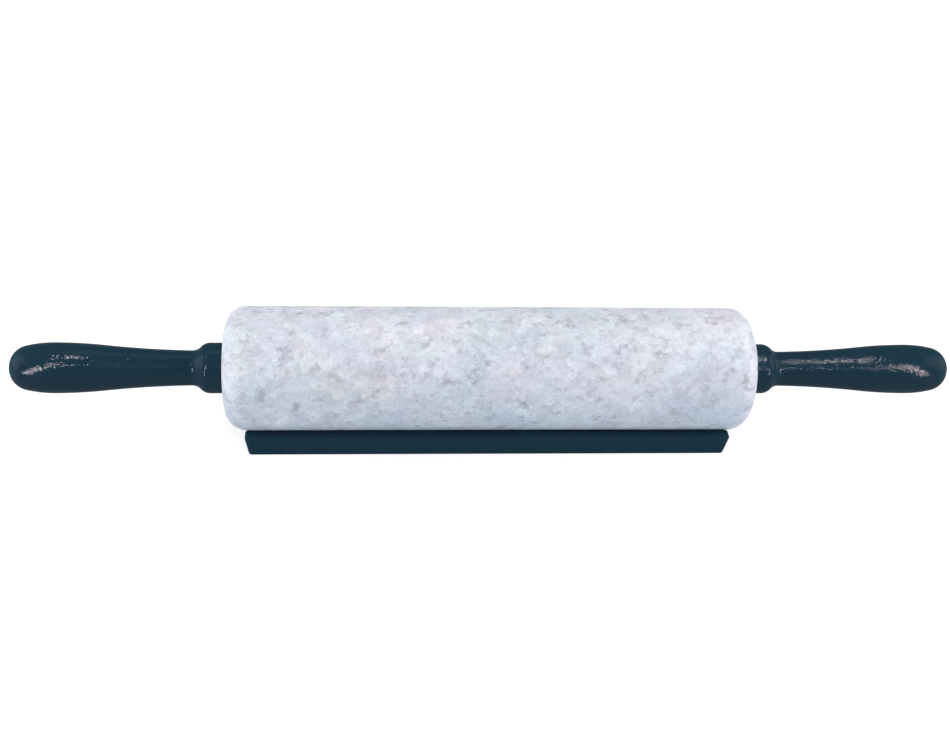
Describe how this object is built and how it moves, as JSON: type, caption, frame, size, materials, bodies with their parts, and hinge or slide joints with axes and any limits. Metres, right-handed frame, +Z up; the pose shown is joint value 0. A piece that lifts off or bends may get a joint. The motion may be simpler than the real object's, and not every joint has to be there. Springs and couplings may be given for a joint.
{
  "type": "rolling pin",
  "caption": "Marble rolling pin whose barrel turns freely on a rod between turned, black painted wooden handles, resting in a low black wooden cradle.",
  "frame": {"origin": "middle of the cradle's underside, on the surface that it stands on", "axes": "+X along the pin towards the right handle, +Y away from the picture's viewer, +Z up"},
  "size_m": [0.4572, 0.06, 0.065],
  "materials": {
    "marble": "polished",
    "painted_handle": "gloss paint",
    "painted_cradle": "satin paint",
    "steel": "bright drawn",
    "nylon": "natural",
    "brass": "machined"
  },
  "bodies": {
    "cradle": {"cradle": "painted_cradle"},
    "handle_set": {"axle_rod": "steel", "left_handle": "painted_handle", "right_handle": "painted_handle", "left_threaded_insert": "brass", "right_threaded_insert": "brass", "left_thrust_washer": "nylon", "right_thrust_washer": "nylon"},
    "roller": {"marble_barrel": "marble", "left_bushing": "nylon", "right_bushing": "nylon"}
  },
  "joints": [
    {"name": "pin_lift", "type": "slide", "parent": "cradle", "child": "handle_set", "axis": [0, 0, 1], "range_m": [0, 0.12]},
    {"name": "barrel_spin", "type": "hinge", "parent": "handle_set", "child": "roller", "pos_m": [0, 0, 0.035], "axis": [1, 0, 0], "continuous": true}
  ]
}
